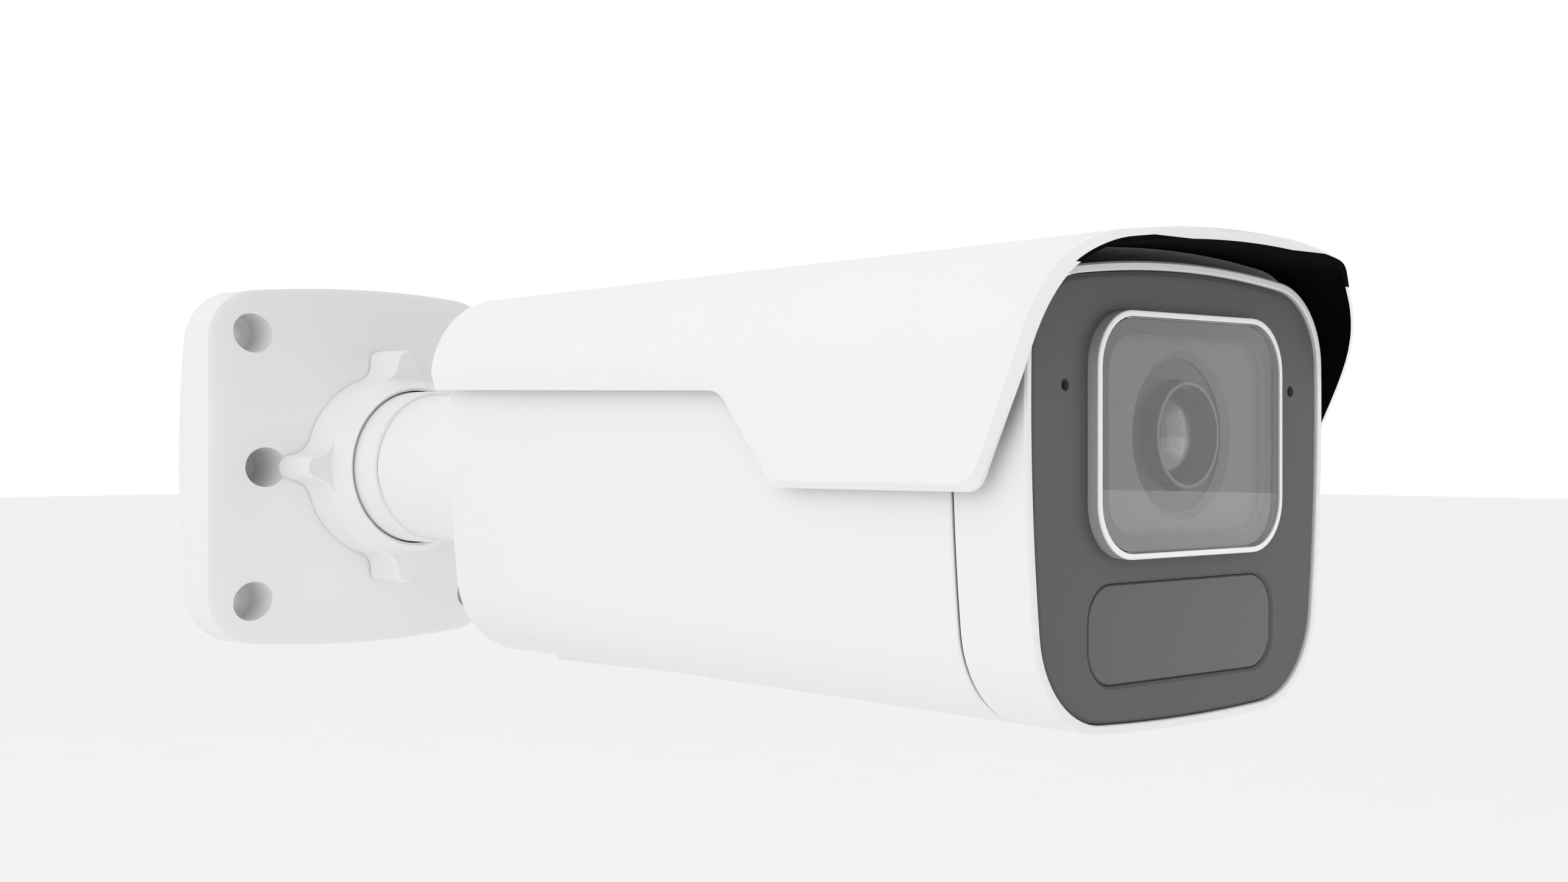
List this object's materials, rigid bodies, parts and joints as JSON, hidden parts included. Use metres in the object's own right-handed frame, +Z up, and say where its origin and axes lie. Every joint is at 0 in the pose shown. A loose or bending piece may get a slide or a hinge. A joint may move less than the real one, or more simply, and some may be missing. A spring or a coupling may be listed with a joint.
{
  "type": "security camera",
  "caption": "Bullet security camera with sunshield on a square wall base: lobed lock ring, slanting elbow joint, tapered housing, lens window and infrared window.",
  "frame": {"origin": "centre of the wall base's back face, on the arm axis", "axes": "+Y into the wall, -Y the way the camera looks, +Z up"},
  "size_m": [0.1066, 0.2986, 0.097],
  "materials": {
    "white_paint": "fine textured white powder coat",
    "black_rubber": "matt",
    "steel": "plain",
    "white_plastic": "fine satin",
    "panel_grey": "fine matt dark grey",
    "bezel_silver": "satin silver-grey",
    "mask_grey": "printed border",
    "window_glass": "clear flat glass",
    "lens_grey": "matt",
    "lens_black": "matt black",
    "coated_glass": "coated lens",
    "acetal": "natural",
    "filter_frame": "matt",
    "board_parts": "moulded",
    "circuit_board": "solder mask",
    "smoked_glass": "smoked, glossy",
    "led": "yellow phosphor",
    "led_optic": "clear moulded",
    "aluminium": "plain"
  },
  "bodies": {
    "base": {"base_plate": "white_paint", "base_gasket": "black_rubber"},
    "ring": {"lock_ring": "white_paint"},
    "pan_arm": {"arm_collar": "white_paint"},
    "elbow": {"elbow_arm": "white_paint", "elbow_washer": "steel", "elbow_nut": "steel", "swivel_washer": "steel", "swivel_nut": "steel"},
    "hood_body": {"hood": "white_paint"},
    "zoom_gear": {"zoom_ring": "lens_black"},
    "focus_gear": {"focus_ring": "lens_black"},
    "zoom_drive": {"zoom_pinion": "acetal"},
    "focus_drive": {"focus_pinion": "acetal"},
    "filter_body": {"filter_slide": "filter_frame"},
    "reset_body": {"reset_button": "board_parts"},
    "camera": {"housing": "white_paint", "hatch_cover": "white_paint", "hatch_seal": "black_rubber", "hatch_screws": "steel", "front_seal": "black_rubber", "front_cover": "white_plastic", "front_panel": "panel_grey", "window_bezel": "bezel_silver", "window_mask": "mask_grey", "window_glass": "window_glass", "lens_plate": "lens_grey", "lens_holder": "lens_black", "front_barrel": "lens_black", "front_element": "coated_glass", "rear_element": "coated_glass", "lens_base": "lens_black", "zoom_motor": "steel", "focus_motor": "steel", "filter_actuator": "board_parts", "image_sensor": "board_parts", "sensor_board": "circuit_board", "illuminator_glass": "smoked_glass", "led_board": "circuit_board", "led_emitters": "led", "led_optics": "led_optic", "microphones": "steel", "chassis": "aluminium", "main_board": "circuit_board", "processor": "board_parts", "heat_block": "aluminium", "board_connectors": "acetal", "power_board": "circuit_board", "power_parts": "board_parts", "card_socket": "steel", "reset_switch": "steel", "hood_bosses": "white_paint", "hood_screws": "steel"}
  },
  "joints": [
    {"name": "lock_ring_turn", "type": "hinge", "parent": "base", "child": "ring", "pos_m": [0, -0.03, 0], "axis": [0, -1, 0], "range_deg": [0, 360]},
    {"name": "pan", "type": "hinge", "parent": "base", "child": "pan_arm", "pos_m": [0, -0.03, 0], "axis": [0, -1, 0], "range_deg": [-180, 180]},
    {"name": "elbow_tilt", "type": "hinge", "parent": "pan_arm", "child": "elbow", "pos_m": [0, -0.069, 0], "axis": [-0.7071, -0.7071, 0], "range_deg": [-80, 80]},
    {"name": "camera_swivel", "type": "hinge", "parent": "elbow", "child": "camera", "pos_m": [0, -0.113, 0], "axis": [0, -1, 0], "range_deg": [-180, 180]},
    {"name": "hood_slide", "type": "slide", "parent": "camera", "child": "hood_body", "axis": [0, -1, 0], "range_m": [0, 0.01]},
    {"name": "zoom_turn", "type": "hinge", "parent": "camera", "child": "zoom_gear", "pos_m": [0, -0.2515, 0.008], "axis": [0, -1, 0], "range_deg": [-45, 45]},
    {"name": "zoom_pinion_turn", "type": "hinge", "parent": "camera", "child": "zoom_drive", "pos_m": [0.0173, -0.2515, 0.008], "axis": [0, -1, 0], "range_deg": [-180, 180]},
    {"name": "focus_turn", "type": "hinge", "parent": "camera", "child": "focus_gear", "pos_m": [0, -0.2585, 0.008], "axis": [0, -1, 0], "range_deg": [-45, 45]},
    {"name": "focus_pinion_turn", "type": "hinge", "parent": "camera", "child": "focus_drive", "pos_m": [-0.0173, -0.2585, 0.008], "axis": [0, -1, 0], "range_deg": [-180, 180]},
    {"name": "filter_shift", "type": "slide", "parent": "camera", "child": "filter_body", "axis": [0, 0, 1], "range_m": [0, 0.01]},
    {"name": "reset_press", "type": "slide", "parent": "camera", "child": "reset_body", "axis": [0, 0, 1], "range_m": [0, 0.0005], "stiffness_N_per_m": 800, "springref_m": -0.0003}
  ],
  "couplings": [
    {"joint": "zoom_pinion_turn", "follows": "zoom_turn", "ratio": -4},
    {"joint": "focus_pinion_turn", "follows": "focus_turn", "ratio": -4}
  ]
}
